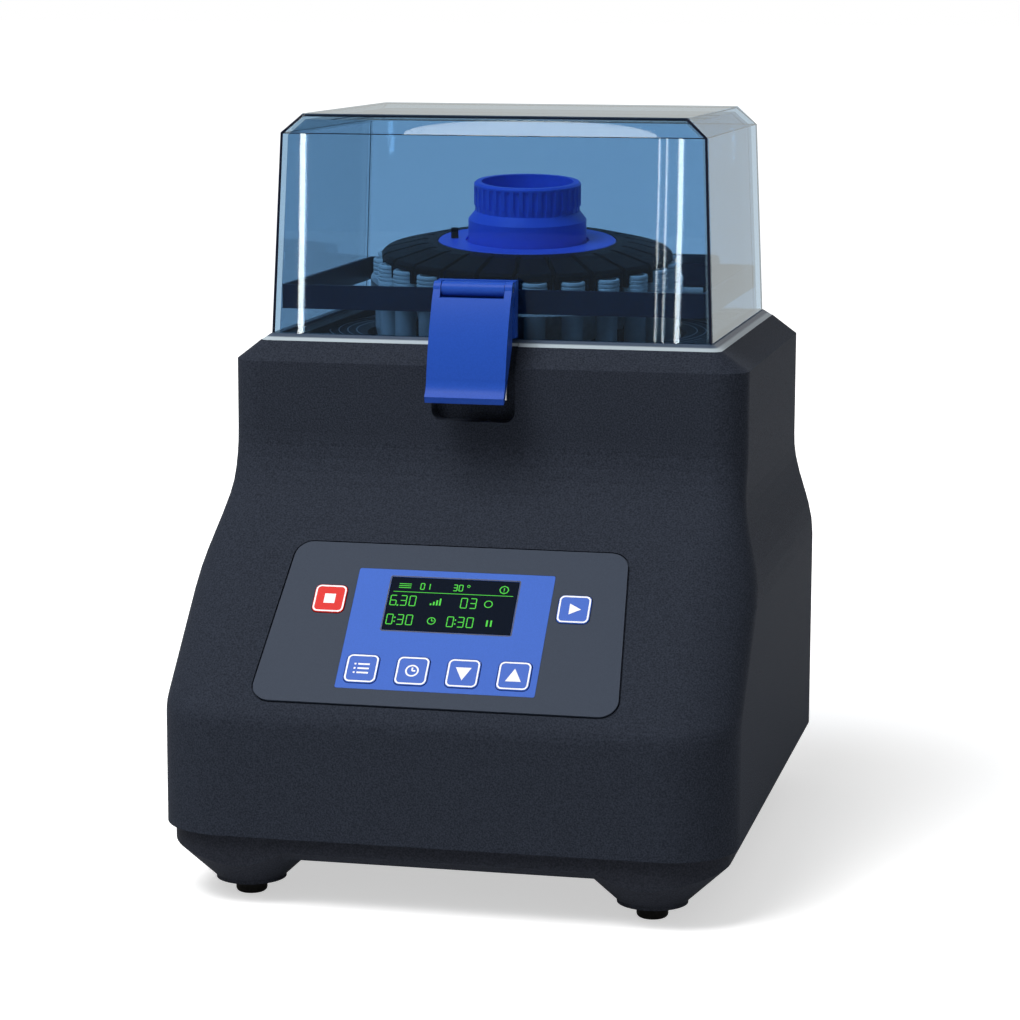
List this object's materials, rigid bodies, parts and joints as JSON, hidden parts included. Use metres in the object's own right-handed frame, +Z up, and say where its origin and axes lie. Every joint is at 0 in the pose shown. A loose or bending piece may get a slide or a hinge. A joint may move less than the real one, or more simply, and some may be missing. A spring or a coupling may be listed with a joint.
{
  "type": "bead mill homogenizer",
  "caption": "Benchtop bead mill with a sloped key panel, a hinged see-through lid and a nodding rotor that clamps capped sample tubes under a fluted knob.",
  "frame": {"origin": "centre of the footprint, at the bottom of the rubber feet", "axes": "+Z up, -Y towards the control panel, +X to the right of a person facing the panel"},
  "size_m": [0.28, 0.332, 0.3728],
  "materials": {
    "housing_charcoal": "fine texture",
    "pan_charcoal": "fine texture",
    "foot_rubber": "matt",
    "panel_grey": "satin print",
    "field_blue": "satin print",
    "key_blue": "satin",
    "key_red": "satin",
    "display_black": "gloss",
    "board_green": "satin",
    "deck_black": "satin",
    "boot_rubber": "matt",
    "seal_grey": "satin",
    "lid_blue_clear": "polished",
    "band_black": "satin",
    "latch_blue": "satin",
    "knob_blue": "satin",
    "clamp_black": "matt",
    "tube_clear": "frosted",
    "cap_clear": "frosted",
    "steel": "brushed",
    "aluminium": "machined",
    "brass": "turned",
    "motor_grey": "painted",
    "black_plastic": "satin",
    "panel_steel": "powder coat"
  },
  "bodies": {
    "housing": {"upper_housing": "housing_charcoal", "base_pan": "pan_charcoal", "rubber_feet": "foot_rubber", "foot_discs": "pan_charcoal", "control_panel": "panel_grey", "key_field": "field_blue", "display_window": "display_black", "display_module": "board_green", "control_board": "board_green", "key_switches": "black_plastic", "chamber_tub": "deck_black", "drive_boot": "boot_rubber", "lid_seal": "seal_grey", "latch_catch": "steel", "housing_hinges": "steel", "rear_panel": "panel_steel", "power_inlet": "black_plastic", "inlet_pins": "brass", "rocker_frame": "black_plastic", "fan_frame": "black_plastic", "power_supply": "panel_steel", "motor": "motor_grey", "motor_plate": "steel", "damper_mounts": "foot_rubber", "frame_posts": "steel", "bearing_housing": "aluminium", "shaft_bearings": "steel"},
    "drive": {"motor_shaft": "steel", "shaft_coupling": "aluminium", "drive_shaft": "steel", "tilted_hub": "steel", "counterweight": "steel", "journal_nut": "steel"},
    "rotor": {"rotor_disc": "aluminium", "rotor_bearings": "steel", "clamp_post": "steel", "index_pin": "clamp_black", "sample_tubes": "tube_clear", "tube_caps": "cap_clear"},
    "clamp": {"clamp_disc": "clamp_black", "clamp_ring": "knob_blue"},
    "knob": {"clamp_knob": "knob_blue", "knob_insert": "brass"},
    "lid": {"lid_cover": "lid_blue_clear", "lid_frame": "band_black", "lid_hinges": "steel", "hinge_pins": "steel", "latch_bracket": "latch_blue", "latch_pin": "steel"},
    "latch": {"latch_flap": "latch_blue"},
    "rocker": {"power_rocker": "black_plastic"},
    "fan": {"fan_rotor": "black_plastic"},
    "stop_key": {"stop_key": "key_red"},
    "run_key": {"run_key": "key_blue"},
    "program_key": {"program_key": "key_blue"},
    "set_key": {"set_key": "key_blue"},
    "down_key": {"down_key": "key_blue"},
    "up_key": {"up_key": "key_blue"}
  },
  "joints": [
    {"name": "lid_hinge", "type": "hinge", "parent": "housing", "child": "lid", "pos_m": [0, 0.141, 0.2685], "axis": [-1, 0, 0], "range_deg": [0, 95]},
    {"name": "latch_hinge", "type": "hinge", "parent": "lid", "child": "latch", "pos_m": [-0.005, -0.0605, 0.289], "axis": [-1, 0, 0], "range_deg": [0, 110]},
    {"name": "drive_spin", "type": "hinge", "parent": "housing", "child": "drive", "pos_m": [0, 0.04, 0.2], "axis": [0, 0, 1], "continuous": true},
    {"name": "rotor_nod", "type": "hinge", "parent": "drive", "child": "rotor", "pos_m": [0, 0.04, 0.275], "axis": [0.0186, -0.0852, 0.9962], "continuous": true},
    {"name": "clamp_lift", "type": "slide", "parent": "rotor", "child": "clamp", "axis": [0.0186, -0.0852, 0.9962], "range_m": [0, 0.025]},
    {"name": "knob_turn", "type": "hinge", "parent": "clamp", "child": "knob", "pos_m": [0, 0.04, 0.275], "axis": [0.0186, -0.0852, 0.9962], "continuous": true},
    {"name": "power_rocker", "type": "hinge", "parent": "housing", "child": "rocker", "pos_m": [-0.024, 0.15745, 0.078], "axis": [-1, 0, 0], "range_deg": [0, 14]},
    {"name": "fan_spin", "type": "hinge", "parent": "housing", "child": "fan", "pos_m": [0.05, 0.155, 0.086], "axis": [0, 1, 0], "continuous": true},
    {"name": "stop_key_press", "type": "slide", "parent": "housing", "child": "stop_key", "axis": [0, 0.7071, -0.7071], "range_m": [0, 0.0006], "stiffness_N_per_m": 400},
    {"name": "run_key_press", "type": "slide", "parent": "housing", "child": "run_key", "axis": [0, 0.7071, -0.7071], "range_m": [0, 0.0006], "stiffness_N_per_m": 400},
    {"name": "program_key_press", "type": "slide", "parent": "housing", "child": "program_key", "axis": [0, 0.7071, -0.7071], "range_m": [0, 0.0006], "stiffness_N_per_m": 400},
    {"name": "set_key_press", "type": "slide", "parent": "housing", "child": "set_key", "axis": [0, 0.7071, -0.7071], "range_m": [0, 0.0006], "stiffness_N_per_m": 400},
    {"name": "down_key_press", "type": "slide", "parent": "housing", "child": "down_key", "axis": [0, 0.7071, -0.7071], "range_m": [0, 0.0006], "stiffness_N_per_m": 400},
    {"name": "up_key_press", "type": "slide", "parent": "housing", "child": "up_key", "axis": [0, 0.7071, -0.7071], "range_m": [0, 0.0006], "stiffness_N_per_m": 400}
  ],
  "couplings": [
    {"joint": "rotor_nod", "follows": "drive_spin", "ratio": -1}
  ]
}
